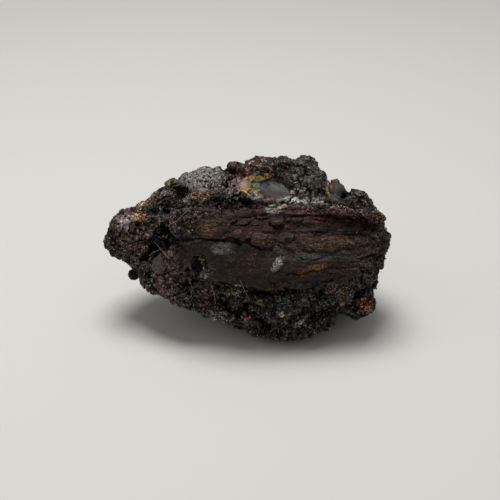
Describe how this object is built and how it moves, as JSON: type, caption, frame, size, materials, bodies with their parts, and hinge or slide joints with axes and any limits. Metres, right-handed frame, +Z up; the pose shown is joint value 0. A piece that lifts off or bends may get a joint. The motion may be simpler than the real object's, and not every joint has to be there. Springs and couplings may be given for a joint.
{
  "type": "goethite specimen",
  "caption": "Hand-sized lump of goethite: a long stone tapering to one blunt end, with a layered slab across its show face, a granular crust and a small iridescent hollow.",
  "frame": {"origin": "the middle of the stone's box, on the flat patch it rests on", "axes": "+X along the stone's length towards its broad end, +Y from the show face towards the back, +Z up"},
  "size_m": [0.0888, 0.0548, 0.0497],
  "materials": {
    "goethite": "rough dark brown iron ore with a dull sparkle, golden and orange stains, and an oil-like iridescent film in one hollow"
  },
  "bodies": {
    "root": {"goethite": "goethite"}
  },
  "joints": []
}
